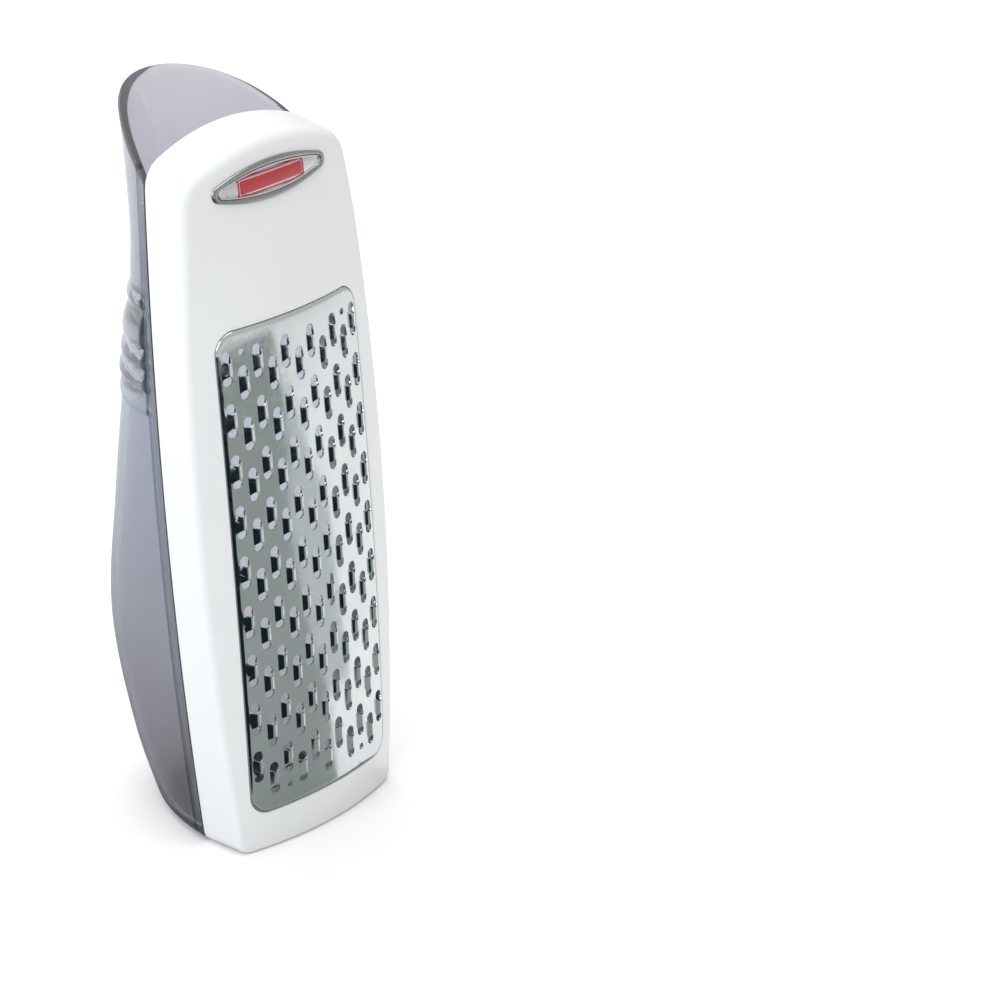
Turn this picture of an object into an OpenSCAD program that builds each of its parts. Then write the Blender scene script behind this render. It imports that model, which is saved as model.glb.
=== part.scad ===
// Free-standing hand grater: a leaning white front housing carries a curved steel
// grating plate, and a smoky container with a pouring spout pulls off the back of it.
// Millimetres, +Z up, front towards -Y, origin under the middle of the whole grater.

/* [Housing] */
// Widest width of the housing, across its belly
body_w = 74.8; // [72:0.2:78]
// Height of the housing at the top of its arch, at the front
body_h = 197.9; // [195:0.1:200]
// Upward slope of the arched top towards the back, in degrees
top_slope = 7; // [5:0.5:9]
// Height at which the housing is widest
belly_z = 97; // [90:1:105]
// Radius of the barrel-shaped sides, seen from the front
side_r = 780; // [700:10:900]
// Radius of the arched top, seen from the front
arch_r = 74; // [68:1:80]
// Radius of the two top corners
top_corner_r = 9; // [8:0.5:11]
// Radius of the two bottom corners
foot_corner_r = 4; // [3.5:0.5:5]
// Backward lean of the front face, in degrees
lean = 4; // [3:0.5:5]
// Radius of the front face across its width
face_r = 105; // [98:1:115]
// Radius of the front face along its height
crown_r = 2000; // [1800:50:2400]
// Distance from the front face back to the seam with the container
seam_depth = 18.9; // [18:0.1:20]
// Wall thickness of the housing
wall = 2.5; // [2:0.1:3]

/* [Skirt] */
// Inset of the skirt that plugs into the container, from the housing's outline
skirt_inset = 4.6; // [4.4:0.1:4.8]
// Thickness of the skirt
skirt_t = 1.6; // [1.2:0.1:2]
// Length of the skirt behind the seam
skirt_len = 5; // [3:0.5:5]
// Height at which the skirt ends under the open spout
skirt_top = 184; // [178:1:186]

/* [Grating plate] */
// Width of the steel plate
plate_w = 56; // [54:0.5:57]
// Height of the steel plate
plate_h = 140.4; // [138:0.4:142]
// Thickness of the steel sheet
plate_t = 0.6; // [0.5:0.1:0.8]
// Corner radius of the plate
plate_corner_r = 6; // [5:0.5:7]
// How far the plate stands proud of the housing's face
plate_proud = 0.3; // [0.2:0.1:0.5]
// Width of the clamping flange round the back of the plate
flange_w = 1.3; // [1:0.1:1.4]
// Columns of teeth
columns = 11; // [9:2:11]
// Rows of teeth
rows = 9; // [7:2:9]
// Distance from one column to the next
column_pitch = 5; // [4.8:0.1:5]
// Distance from one row to the next
row_pitch = 14.5; // [14:0.1:14.6]
// Downward shift of every second column
stagger = 4.85; // [4:0.05:5]
// Diameter of a tooth's two holes
hole_d = 3; // [2.6:0.1:3.2]
// Distance between a tooth's two holes
hole_gap = 6.6; // [6.2:0.1:7]
// Height of a tooth's bridge above the plate
bridge_h = 1.1; // [0.8:0.1:1.3]

/* [Container] */
// Wall thickness of the container
shell_t = 2.4; // [2:0.1:2.6]
// Height of the spout's lip
spout_h = 209.3; // [206:0.1:212]
// Radius of the spout's cut edge, seen from the side
spout_r = 84; // [75:1:95]
// Height at which the spout's cut edge leaves the seam
spout_low = 190.5; // [188:0.5:192]
// Radius of the container's bottom edge
base_r = 4; // [3:0.5:5]
// Radius of the grip rings, from groove to crest
ring_depth = 1.6; // [1:0.1:2]
// Gap between the container and the housing at the seam
seam_gap = 0.2; // [0.2:0.05:0.3]

/* [Badge] */
// Length of the badge's oval rim
badge_w = 44; // [40:0.5:46]
// Height of the badge's oval rim
badge_h = 10.4; // [9:0.2:11]
// Height of the badge's middle on the leaning face, above the plate's middle
badge_z = 105.4; // [104:0.2:106]

/* [Hidden] */

// Facets: arcs of usual size, and the very large arcs
$fn = 96;
big_fn = 720;
barrel_fn = 360;
far = 400;

// The whole grater's depth, and where the front face passes the plate's middle
depth = 73.7;
face_z = 84;
face_y = 4.1 - depth / 2;

// The plate's middle lies a little below the middle of its teeth
plate_mid_z = -2.4;
side_x = body_w / 2 - side_r;
arch_z = body_h - arch_r;

// Depth of the front face and of the seam at a height above the ground
function face_at(z) = face_y + tan(lean) * (z - face_z) + pow(z - face_z, 2) / (2 * crown_r);
function seam_at(z) = face_at(z) + seam_depth;

// Half width of the housing's outline at a height above the ground
function half_width(z) = side_x + sqrt(side_r * side_r - pow(z - belly_z, 2));

// Depth of the curved face behind its crest, at a distance x from the middle
function face_sag(x, z, inset) =
    inset + (face_r - inset) - sqrt(pow(face_r - inset, 2) - x * x) + z * z / (2 * crown_r);

// Centre of a circle of radius r that touches the right side arc and the arched top
function top_corner_centre() =
    let (a = side_r - top_corner_r, b = arch_r - top_corner_r,
         dx = -side_x, dz = arch_z - belly_z, d2 = dx * dx + dz * dz,
         along = (a * a - b * b + d2) / (2 * d2),
         up = sqrt(a * a / d2 - along * along))
    [side_x + along * dx - up * dz, belly_z + along * dz + up * dx];

// Centre of the bottom right corner's circle, at a distance from the side and the base
function foot_corner_centre(inward) =
    [side_x + sqrt(pow(side_r - inward, 2) - pow(belly_z - inward, 2)), inward];

function unit(v) = v / norm(v);

// ---------- the housing's outline, drawn with X across and Y as the height ----------

// What a rounded corner takes off: the wedge between two directions, less the circle
module corner_cut(centre, r, dir_a, dir_b) {
    difference() {
        polygon([centre, centre + 12 * dir_a, centre + 16 * (dir_a + dir_b),
                 centre + 12 * dir_b]);
        translate(centre) circle(r);
    }
}

// The sides, the flat base and the bottom corners
module side_outline(inset) {
    foot_r = max(foot_corner_r - inset, 1.2);
    foot = foot_corner_centre(inset + foot_r);
    difference() {
        intersection() {
            translate([side_x, belly_z]) circle(side_r - inset, $fn = big_fn);
            translate([-side_x, belly_z]) circle(side_r - inset, $fn = big_fn);
            translate([-body_w, inset]) square([2 * body_w, body_h + 50]);
        }
        for (side = [0, 1]) mirror([side, 0])
            corner_cut(foot, foot_r, unit(foot - [side_x, belly_z]), [0, -1]);
    }
}

// The arched top and its corners, as tall as needed below
module top_outline(inset) {
    top = top_corner_centre();
    difference() {
        union() {
            translate([0, arch_z]) circle(arch_r - inset, $fn = barrel_fn);
            translate([inset - arch_r, -60]) square([2 * (arch_r - inset), arch_z + 60]);
        }
        for (side = [0, 1]) mirror([side, 0])
            corner_cut(top, top_corner_r - inset, unit(top - [side_x, belly_z]),
                       unit(top - [0, arch_z]));
    }
}

// The outline as a prism that runs from front to back, its top sloping up to the back
module prism(inset) {
    front_y = face_at(body_h);
    reach = 90;
    intersection() {
        translate([0, reach, 0]) rotate([90, 0, 0]) linear_extrude(2 * reach)
            side_outline(inset);
        translate([0, front_y, body_h]) rotate([top_slope, 0, 0])
            translate([0, 1.5 * reach, -body_h]) rotate([90, 0, 0])
            linear_extrude(3 * reach) top_outline(inset);
    }
}

// ---------- the leaning face ----------

// Puts its children in the face's own frame: origin on the face at the middle of the teeth
module on_face() {
    translate([0, face_y, face_z]) rotate([-lean, 0, 0]) children();
}

// Solid behind the doubly curved face, moved back by an inset
module behind_face(inset) {
    reach = 140;
    on_face() translate([0, face_r, 0]) rotate([0, 0, 180])
        rotate_extrude(angle = 180, $fn = barrel_fn) intersection() {
        translate([face_r - crown_r, 0]) circle(crown_r - inset, $fn = big_fn);
        translate([0, -reach]) square([face_r + 1, 2 * reach]);
    }
}

// Points down a copy of the seam moved back by a distance, between two heights on the face
function seam_line(back, low, high) =
    [for (k = [0:20]) let (z = low + (high - low) * k / 20)
        [seam_depth + back + crown_r - sqrt(crown_r * crown_r - z * z), z]];

// A profile of depth and height, drawn in the face's frame and run across the whole width
module across() {
    on_face() rotate([90, 0, 90]) linear_extrude(far / 2, center = true) children();
}

// Solid in front of the seam
module before_seam() {
    across() polygon(concat([[-60, 132], [-60, -108]], seam_line(0, -108, 132)));
}

// Slab between two copies of the seam, up to a height on the face
module seam_slab(front, back, high) {
    back_line = seam_line(back, -108, high);
    across() polygon(concat(seam_line(front, -108, high),
                            [for (k = [20:-1:0]) back_line[k]]));
}

// A flat shape drawn on the face, run through from front to back
module through_face() {
    on_face() translate([0, 60, 0]) rotate([90, 0, 0]) linear_extrude(120) children();
}

module rounded_rect(w, h, r) {
    square([w - 2 * r, h], center = true);
    square([w, h - 2 * r], center = true);
    for (sx = [-1, 1], sy = [-1, 1])
        translate([sx * (w / 2 - r), sy * (h / 2 - r)]) circle(r);
}

// The plate's outline, grown or shrunk
module plate_outline(grow) {
    translate([0, plate_mid_z])
        rounded_rect(plate_w + 2 * grow, plate_h + 2 * grow, plate_corner_r + grow);
}

// ---------- front housing ----------

// Places of the melted studs that hold the retainer, on the face's own frame
stud_r = 1.5;
stud_head_r = 2.5;
stud_head_t = 0.9;
stud_places = [[32, -22], [32, 28], [22, 74.5], [17, -77.4]];
retainer_t = 2.4;
plate_fit = 0.1;

// Insets of the layers behind the face: housing wall, plate flange, retainer
flange_inset = wall + plate_fit;
retainer_inset = flange_inset + plate_t + plate_fit;

module on_studs() {
    for (p = stud_places, side = [-1, 1])
        translate([side * p[0], face_sag(p[0], p[1], 0), p[1]]) rotate([-90, 0, 0]) children();
}

module studs() {
    on_face() on_studs() {
        cylinder(r = stud_r, h = retainer_inset + retainer_t + 1.8);
        translate([0, 0, retainer_inset + retainer_t + 1.4])
            cylinder(r = stud_head_r, h = stud_head_t);
    }
}

// Ledge inside the seam, and the skirt that plugs into the container
module skirt() {
    ledge_t = 2.2;
    high = skirt_top - face_z;
    difference() {
        intersection() {
            prism(skirt_inset);
            seam_slab(-ledge_t, skirt_len, high);
        }
        prism(skirt_inset + skirt_t);
    }
    difference() {
        intersection() {
            prism(wall - 0.2);
            seam_slab(0.3 - ledge_t, -0.1, high - 0.3);
        }
        prism(skirt_inset + 0.3);
    }
}

module front_housing() color("white") {
    difference() {
        intersection() {
            prism(0);
            behind_face(0);
            before_seam();
        }
        intersection() {
            prism(wall);
            behind_face(wall);
        }
        through_face() plate_outline(plate_fit);
    }
    studs();
    skirt();
}

// ---------- grating plate ----------

// Places of the teeth: every second column hangs lower
module at_teeth() {
    for (c = [0:columns - 1], r = [0:rows - 1])
        let (x = (c - (columns - 1) / 2) * column_pitch,
             z = (r - (rows - 1) / 2) * row_pitch - (c % 2) * stagger)
        translate([x, z]) children();
}

// The slot under one tooth: two holes and the strip between them that is pushed out
module slot() {
    translate([0, hole_gap / 2]) circle(d = hole_d, $fn = 24);
    translate([0, -hole_gap / 2]) circle(d = hole_d, $fn = 24);
    square([hole_d, hole_gap], center = true);
}

// Small tooling holes beside the teeth
module tooling_holes() {
    for (side = [-1, 1]) {
        translate([side * 4 * column_pitch, 61.7]) circle(d = 1.9, $fn = 24);
        translate([side * 3 * column_pitch, -66.4]) circle(d = 1.9, $fn = 24);
    }
}

// The vault that bridges one slot, with an open cutting edge at each end
module bridge(length) {
    outer = hole_d / 2 + plate_t * 0.6;
    rise = bridge_h - outer;
    difference() {
        translate([0, -rise, 0]) cylinder(r = outer, h = length, center = true, $fn = 24);
        translate([0, -rise, 0])
            cylinder(r = outer - plate_t * 0.8, h = length + 1, center = true, $fn = 24);
        translate([-5, plate_t / 2, -length]) cube([10, 10, 2 * length]);
    }
}

module bridges() {
    length = hole_gap - hole_d + 0.8;
    for (c = [0:columns - 1], r = [0:rows - 1])
        let (x = (c - (columns - 1) / 2) * column_pitch,
             z = (r - (rows - 1) / 2) * row_pitch - (c % 2) * stagger,
             turn = asin(x / face_r))
        translate([x, face_sag(x, z, -plate_proud), z])
            rotate([-z / crown_r * 180 / PI, 0, 0]) rotate([0, 0, turn])
            translate([0, 0, 0]) bridge(length);
}

module grating_plate() color("silver") {
    difference() {
        // the curved face of the pan
        intersection() {
            through_face() plate_outline(0);
            behind_face(-plate_proud);
        }
        behind_face(plate_t - plate_proud);
        through_face() {
            at_teeth() slot();
            tooling_holes();
        }
    }
    // the turned-in edge of the pan
    difference() {
        intersection() {
            through_face() plate_outline(0);
            behind_face(0);
        }
        behind_face(flange_inset + plate_t);
        through_face() plate_outline(-plate_t);
    }
    // the flange behind the housing's wall
    difference() {
        intersection() {
            through_face() plate_outline(flange_w);
            behind_face(flange_inset);
        }
        behind_face(flange_inset + plate_t);
        through_face() plate_outline(-plate_t);
    }
    on_face() bridges();
}

// ---------- retainer ----------

module plate_retainer() color("whitesmoke") {
    opening_grow = -2;
    difference() {
        intersection() {
            prism(wall + 0.2);
            behind_face(retainer_inset);
        }
        behind_face(retainer_inset + retainer_t);
        translate([-far / 2, 40, -1]) cube(far);
        through_face() plate_outline(opening_grow);
        through_face() translate([0, 82.5 + 30]) square([80, 60], center = true);
        on_face() on_studs() cylinder(r = stud_r + plate_fit, h = 12);
    }
}

// ---------- badge ----------

badge_rim_h = 1.1;
insert_w = 40;
insert_h = 7.2;
insert_h_above = 0.5;
panel_w = 25.6;
panel_h = 4.6;

// An oval of four arcs, drawn on the face at the badge's place
module oval(w, h) {
    a = w / 2;
    b = h / 2;
    end_r = b * 0.42;
    flat_r = (pow(a - end_r, 2) + b * b - end_r * end_r) / (2 * (b - end_r));
    meet_x = (a - end_r) * flat_r / (flat_r - end_r);
    translate([0, badge_z]) {
        intersection() {
            translate([0, b - flat_r]) circle(flat_r, $fn = barrel_fn);
            translate([0, flat_r - b]) circle(flat_r, $fn = barrel_fn);
            square([2 * meet_x, h], center = true);
        }
        for (side = [-1, 1]) translate([side * (a - end_r), 0]) circle(end_r);
    }
}

// A layer that follows the face, between two insets
module face_layer(front, back) {
    difference() {
        intersection() {
            through_face() children();
            behind_face(front);
        }
        behind_face(back);
    }
}

module badge_bezel() color("dimgray") {
    face_layer(-badge_rim_h, 0) difference() {
        oval(badge_w, badge_h);
        oval(insert_w, insert_h);
    }
}

module badge_insert() color("gainsboro") {
    face_layer(-insert_h_above, 0) oval(insert_w, insert_h);
}

module badge_panel() color("firebrick") {
    panel_t = 0.25;
    face_layer(-insert_h_above - panel_t, -insert_h_above) translate([0, badge_z])
        rounded_rect(panel_w, panel_h, 1);
}

// ---------- container ----------

// Height and depth of points down the middle of the container's back
back_line = [[0, 19.5], [20, 29.6], [54, 36.85], [92, 31.6], [126, 25.6], [150, 20.9],
             [172, 19.3], [190, 21.9], [212, 27.2]];

// A smooth curve through the points: slope at a point, then a cubic between two points
function back_slope(i) =
    let (a = max(i - 1, 0), b = min(i + 1, len(back_line) - 1))
    (back_line[b][1] - back_line[a][1]) / (back_line[b][0] - back_line[a][0]);
function back_cubic(i, z) =
    let (p = back_line[i], q = back_line[i + 1], h = q[0] - p[0], t = (z - p[0]) / h)
    (2 * pow(t, 3) - 3 * t * t + 1) * p[1] + (pow(t, 3) - 2 * t * t + t) * h * back_slope(i)
    + (3 * t * t - 2 * pow(t, 3)) * q[1] + (pow(t, 3) - t * t) * h * back_slope(i + 1);
function back_at(z, i = 0) =
    i >= len(back_line) - 2 || z <= back_line[i + 1][0] ? back_cubic(i, z) : back_at(z, i + 1);

// The oval sections are centred this far in front of the seam
section_centre = 8;

// Grip rings: heights of the grooves at the seam, and how far each crest between stands out
ring_grooves = [127.5, 133.5, 139.6, 145.3, 154.5, 161];
ring_crests = [0.55, 1, 1, 1, 0.45];
function ring_crest(i, s) =
    let (t = (s - ring_grooves[i]) / (ring_grooves[i + 1] - ring_grooves[i]))
    ring_crests[i] * sin(180 * pow(t, 0.7));
function ring_shape(s, i = 0) =
    i >= len(ring_crests) || s < ring_grooves[0] ? 0
    : s < ring_grooves[i + 1] ? ring_crest(i, s) : ring_shape(s, i + 1);
function ring_fade(y_back) = let (t = min(max((y_back - 2) / 5, 0), 1)) t * t * (3 - 2 * t);

// Inset of the outer wall that rounds the bottom edge
function base_inset(z) = z < base_r ? base_r - sqrt(base_r * base_r - pow(base_r - z, 2)) : 0;

// A point of the wall at a height and an angle, for the outer (inset 0) or inner wall
function wall_point(z, angle, inset, rings) =
    let (seam = seam_at(z) + seam_gap, b = back_at(z) - seam + section_centre,
         a = half_width(z) / sqrt(1 - pow(section_centre / b, 2)),
         ai = a - inset - base_inset(z), bi = b - inset - base_inset(z),
         start = asin(section_centre / bi), turn = start + (180 - 2 * start) * angle / 180,
         y = bi * sin(turn) - section_centre,
         grow = 1 + rings * ring_depth * ring_shape(z + tan(lean) * y) * ring_fade(y) / bi)
    [ai * cos(turn) * grow, seam + bi * sin(turn) * grow - section_centre, z];

// Height of the spout's cut edge at a depth: a round line from the seam to the lip
spout_y0 = seam_at(spout_low);
spout_y1 = back_at(spout_h);
spout_chord = [spout_y1 - spout_y0, spout_h - spout_low];
spout_side = sqrt(spout_r * spout_r - pow(norm(spout_chord) / 2, 2));
spout_mid = [spout_y0, spout_low] + spout_chord / 2
            + spout_side * [spout_chord[1], -spout_chord[0]] / norm(spout_chord);
function cut_at(y) =
    spout_mid[1] + sqrt(max(spout_r * spout_r - pow(y - spout_mid[0], 2), 0));

// The cut edge's height on the wall at an angle, found by going back and forth
function rim_z(angle, inset, z = 200, left = 8) =
    left == 0 ? z : rim_z(angle, inset, cut_at(wall_point(z, angle, inset, 0)[1]), left - 1);

// Heights of the wall's levels, as shares between the ground and the cut edge
low_levels = concat([for (k = [0:5]) base_r * (1 - cos(18 * k))],
                    [9, 16, 24, 33, 43, 54, 65, 76, 87, 98, 108, 116]);
ring_levels = [for (k = [0:33]) 123.6 + 1.12 * k];
top_levels = [165, 171, 177, 183];
levels = concat(low_levels, ring_levels, top_levels);
top_steps = 5;
angle_steps = 36;

function wall_column(angle, inset) =
    let (rim = rim_z(angle, inset), last = levels[len(levels) - 1], floor_t = inset)
    concat([for (z = levels) wall_point(z + floor_t * (1 - z / rim), angle, inset,
                                        inset == 0 ? 1 : 0)],
           [for (k = [1:top_steps]) let (z = last + (rim - last) * k / top_steps)
               wall_point(z + floor_t * (1 - z / rim), angle, inset, 0)]);

// The wall's grid: columns of points up the outer wall, then up the inner wall
level_count = len(levels) + top_steps;
column_count = angle_steps + 1;
function outer(k, i) = k * level_count + i;
function inner(k, i) = (column_count + k) * level_count + i;

module container() color([0.55, 0.56, 0.62, 0.6]) {
    last_k = column_count - 1;
    last_i = level_count - 1;
    points = concat([for (k = [0:last_k]) each wall_column(180 * k / angle_steps, 0)],
                    [for (k = [0:last_k]) each wall_column(180 * k / angle_steps, shell_t)]);
    polyhedron(points, concat(
        [for (k = [0:last_k - 1], i = [0:last_i - 1])
            [outer(k, i), outer(k, i + 1), outer(k + 1, i + 1), outer(k + 1, i)]],
        [for (k = [0:last_k - 1], i = [0:last_i - 1])
            [inner(k, i), inner(k + 1, i), inner(k + 1, i + 1), inner(k, i + 1)]],
        [for (k = [0:last_k - 1])
            [outer(k, last_i), inner(k, last_i), inner(k + 1, last_i), outer(k + 1, last_i)]],
        [for (i = [0:last_i - 1])
            [outer(0, i), inner(0, i), inner(0, i + 1), outer(0, i + 1)]],
        [for (i = [0:last_i - 1])
            [outer(last_k, i), outer(last_k, i + 1), inner(last_k, i + 1), inner(last_k, i)]],
        [[for (k = [0:last_k]) outer(k, 0)]],
        [[for (k = [last_k:-1:0]) inner(k, 0)]],
        [[outer(0, 0), outer(last_k, 0), inner(last_k, 0), inner(0, 0)]]
    ));
}

front_housing();
grating_plate();
plate_retainer();
badge_bezel();
badge_insert();
badge_panel();
container();
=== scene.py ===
import math
import bmesh
import bpy
import numpy as np
from mathutils import Matrix, Vector
from mathutils.geometry import delaunay_2d_cdt


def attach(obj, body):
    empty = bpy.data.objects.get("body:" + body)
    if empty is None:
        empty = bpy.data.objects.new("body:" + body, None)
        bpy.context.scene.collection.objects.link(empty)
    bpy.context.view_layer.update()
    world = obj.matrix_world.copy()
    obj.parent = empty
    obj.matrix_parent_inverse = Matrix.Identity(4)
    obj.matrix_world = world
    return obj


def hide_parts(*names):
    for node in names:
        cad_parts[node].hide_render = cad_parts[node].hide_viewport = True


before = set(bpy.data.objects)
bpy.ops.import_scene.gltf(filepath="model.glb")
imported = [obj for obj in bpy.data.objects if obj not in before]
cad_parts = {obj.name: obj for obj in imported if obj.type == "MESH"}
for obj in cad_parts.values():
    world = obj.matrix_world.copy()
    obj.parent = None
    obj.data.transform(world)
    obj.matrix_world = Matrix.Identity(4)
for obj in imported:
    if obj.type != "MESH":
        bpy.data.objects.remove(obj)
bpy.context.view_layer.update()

MM = 0.001

# ---------------------------------------------------------------- the object's own shape, in mm
BODY_W = 74.8
BODY_H = 198.3
BELLY_Z = 97.0
SIDE_R = 780.0
ARCH_R = 74.0
TOP_SLOPE = math.radians(9.5)
TOP_CORNER_R = 9.0
FOOT_CORNER_R = 4.0
LEAN = math.radians(4.0)
FACE_R = 108.0
FACE_R_LOSS = 0.10
CROWN_R = 2000.0
BROW_LOW = 62.0
BROW_HIGH = 104.0
BROW_FLATNESS = 0.68
EDGE_X = 31.5
SEAM_DEPTH = 18.9
WALL = 2.5
FACE_Z = 84.0
CREST_BACK = 4.1
FULL_DEPTH = 73.7
FACE_Y = CREST_BACK - FULL_DEPTH / 2
SIDE_X = BODY_W / 2 - SIDE_R
SOLVE_STEPS = 12

PLATE_W = 56.0
PLATE_H = 140.4
PLATE_MID_Z = -2.4
PLATE_CORNER_R = 6.0
PLATE_WAIST = 0.5
WAIST_REACH = 70.0
PLATE_T = 0.6
PLATE_PROUD = 0.3
COLUMNS = 11
ROWS = 9
COLUMN_PITCH = 5.0
ROW_PITCH = 14.5
STAGGER = ROW_PITCH / 3
HOLE_R = 1.5
HOLE_GAP = 6.6
HOLE_SIDES = 28
TOOLING_R = 0.95
TOOLING_HOLES = [(20.0, 61.7), (15.0, -66.4)]
TOOLING_SIDES = 20
BRIDGE_H = 1.1
BRIDGE_HALF = 1.6
BRIDGE_FLAT = 2.05
BRIDGE_RAMP = 0.95


# ---------------------------------------------------------------- the leaning face
def face_depth(x, z, inset=0.0):
    """Depth of the curved face behind its crest, in the face's own frame.

    Above the window the face grows flatter across, and its edges stay where they were."""
    radius = FACE_R * (1 - FACE_R_LOSS * (z / 100) ** 2) - inset
    curve = radius - np.sqrt(radius ** 2 - x ** 2)
    edge = radius - np.sqrt(radius ** 2 - EDGE_X ** 2)
    share = BROW_FLATNESS * smooth((z - BROW_LOW) / (BROW_HIGH - BROW_LOW))
    return inset + curve + share * (edge - curve) + z ** 2 / (2 * CROWN_R)


def seam_depth(x, z, inset=0.0):
    """Depth of the seam, which is flat across and slightly bowed from top to bottom."""
    return SEAM_DEPTH + inset + z ** 2 / (2 * CROWN_R) + 0 * x


def to_world(x, depth, z):
    """Points of the face's own frame as rows of x, y, z in the shared frame."""
    c, s = math.cos(LEAN), math.sin(LEAN)
    return np.stack([x + 0 * z, FACE_Y + depth * c + z * s, FACE_Z - depth * s + z * c], axis=-1)


def on_surface(x, height, surface, inset=0.0):
    """(depth, z) in the face's frame of the surface's point at an x and a height above ground."""
    c, s = math.cos(LEAN), math.sin(LEAN)
    z = (height - FACE_Z) / c
    for _ in range(SOLVE_STEPS):
        depth = surface(x, z, inset)
        z = (height - FACE_Z + depth * s) / c
    return surface(x, z, inset), z


def world_y(x, height, surface, inset=0.0):
    """The y of a surface at an x and a height above ground."""
    depth, z = on_surface(x, height, surface, inset)
    return FACE_Y + depth * math.cos(LEAN) + z * math.sin(LEAN)


# ---------------------------------------------------------------- outlines
def unit(v):
    """The vector at length 1."""
    return v / np.linalg.norm(v)


def arc(centre, radius, start, end, count, last=False):
    """count points of an arc from start to end, with the end itself left out unless last."""
    turn = np.linspace(start, end, count if last else count + 1)[:count]
    return np.stack([centre[0] + radius * np.cos(turn), centre[1] + radius * np.sin(turn)], -1)


def side_points(inset, heights):
    """Points of the bowed side at the given heights, as x and height."""
    reach = SIDE_R - inset
    return np.stack([SIDE_X + np.sqrt(reach ** 2 - (heights - BELLY_Z) ** 2), heights], -1)


def smooth(t):
    """A soft step from 0 to 1."""
    t = np.clip(t, 0, 1)
    return t * t * (3 - 2 * t)


def spread(low, high, count):
    """count even steps from low, with high itself left out."""
    return low + (high - low) * np.arange(count) / count


def whole_loop(half):
    """A closed loop from its right half, which runs from bottom middle to top middle."""
    left = half[-2:0:-1] * np.array([-1.0, 1.0])
    return np.concatenate([half, left])


LEAST_CORNER_R = 0.8
BASE_STEPS = 14
SIDE_STRETCHES = [(16, 150, 50), (150, 178, 16)]


def outline(height, inset):
    """The housing's outline seen from the front, as a loop of x and height."""
    foot_r = max(FOOT_CORNER_R - inset, LEAST_CORNER_R)
    inward = inset + foot_r
    foot = np.array([SIDE_X + math.sqrt((SIDE_R - inward) ** 2 - (BELLY_Z - inward) ** 2), inward])
    side = np.array([SIDE_X, BELLY_Z])
    foot_end = math.atan2(*unit(foot - side)[::-1])
    foot_top = foot[1] + foot_r * math.sin(foot_end)
    arch = np.array([0.0, height - ARCH_R])
    a, b = SIDE_R - TOP_CORNER_R, ARCH_R - TOP_CORNER_R
    gap = arch - side
    d2 = gap @ gap
    along = (a * a - b * b + d2) / (2 * d2)
    up = math.sqrt(a * a / d2 - along * along)
    top = side + along * gap + up * np.array([-gap[1], gap[0]])
    corner_r = TOP_CORNER_R - inset
    corner_start = math.atan2(*unit(top - side)[::-1])
    corner_end = math.atan2(*unit(top - arch)[::-1])
    corner_low = top[1] + corner_r * math.sin(corner_start)
    base = np.stack([spread(0, foot[0], BASE_STEPS), np.full(BASE_STEPS, inset)], -1)
    first, last = SIDE_STRETCHES[0][0], SIDE_STRETCHES[-1][1]
    stretches = [(foot_top, first, 10)] + SIDE_STRETCHES + [(last, corner_low, 6)]
    return whole_loop(np.concatenate([
        base,
        arc(foot, foot_r, -math.pi / 2, foot_end, 6),
        *[side_points(inset, spread(*stretch)) for stretch in stretches],
        arc(top, corner_r, corner_start, corner_end, 12),
        arc(arch, ARCH_R - inset, corner_end, math.pi / 2, 16, last=True),
    ]))


def plate_half_width(z, grow):
    """The plate is widest at its middle and narrows by PLATE_WAIST towards its ends."""
    return PLATE_W / 2 + grow - PLATE_WAIST * ((z - PLATE_MID_Z) / WAIST_REACH) ** 2


def plate_loop(grow):
    """The plate's outline, grown or shrunk, as a loop of x and z in the face's frame."""
    r = PLATE_CORNER_R + grow
    low, high = PLATE_MID_Z - PLATE_H / 2 - grow, PLATE_MID_Z + PLATE_H / 2 + grow
    cx = plate_half_width(high - r, grow) - r
    heights = spread(low + r, high - r, 50)
    top = np.linspace(cx, 0, 34)
    return whole_loop(np.concatenate([
        np.stack([spread(0, cx, BASE_STEPS), np.full(BASE_STEPS, low)], -1),
        arc((cx, low + r), r, -math.pi / 2, 0, 16),
        np.stack([plate_half_width(heights, grow), heights], -1),
        arc((cx, high - r), r, 0, math.pi / 2, 16),
        np.stack([top, np.full(len(top), high)], -1),
    ]))


# ---------------------------------------------------------------- mesh helpers
WELD_GAP = 1e-7


def make_object(name, points, faces, material, smooth_angle=35.0):
    """An object from points in mm, with doubled points welded and sharp edges marked."""
    mesh = bpy.data.meshes.new(name)
    mesh.from_pydata([tuple(p) for p in np.asarray(points) * MM], [], faces)
    mesh.validate()
    work = bmesh.new()
    work.from_mesh(mesh)
    bmesh.ops.remove_doubles(work, verts=work.verts, dist=WELD_GAP)
    bmesh.ops.recalc_face_normals(work, faces=work.faces)
    work.to_mesh(mesh)
    work.free()
    mesh.polygons.foreach_set("use_smooth", [True] * len(mesh.polygons))
    mesh.set_sharp_from_angle(angle=math.radians(smooth_angle))
    mesh.update()
    obj = bpy.data.objects.new(name, mesh)
    bpy.context.scene.collection.objects.link(obj)
    mesh.materials.append(material)
    return obj


def strip(first, second, closed=True):
    """Quads between two rows of vertex numbers."""
    n = len(first)
    last = n if closed else n - 1
    return [(first[i], first[(i + 1) % n], second[(i + 1) % n], second[i]) for i in range(last)]


def loops_mesh(loops, close=False):
    """Points and quads of loops joined one to the next."""
    n = len(loops[0])
    rows = [list(range(k * n, (k + 1) * n)) for k in range(len(loops))]
    faces = []
    for k in range(len(loops) - 1):
        faces += strip(rows[k], rows[k + 1])
    if close:
        faces += strip(rows[-1], rows[0])
    return np.concatenate(loops), faces


def fan(points, row, middle):
    """A cap: a middle point joined to a row of vertex numbers."""
    points = np.concatenate([points, [middle]])
    tip = len(points) - 1
    n = len(row)
    return points, [(row[i], row[(i + 1) % n], tip) for i in range(n)]


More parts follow.
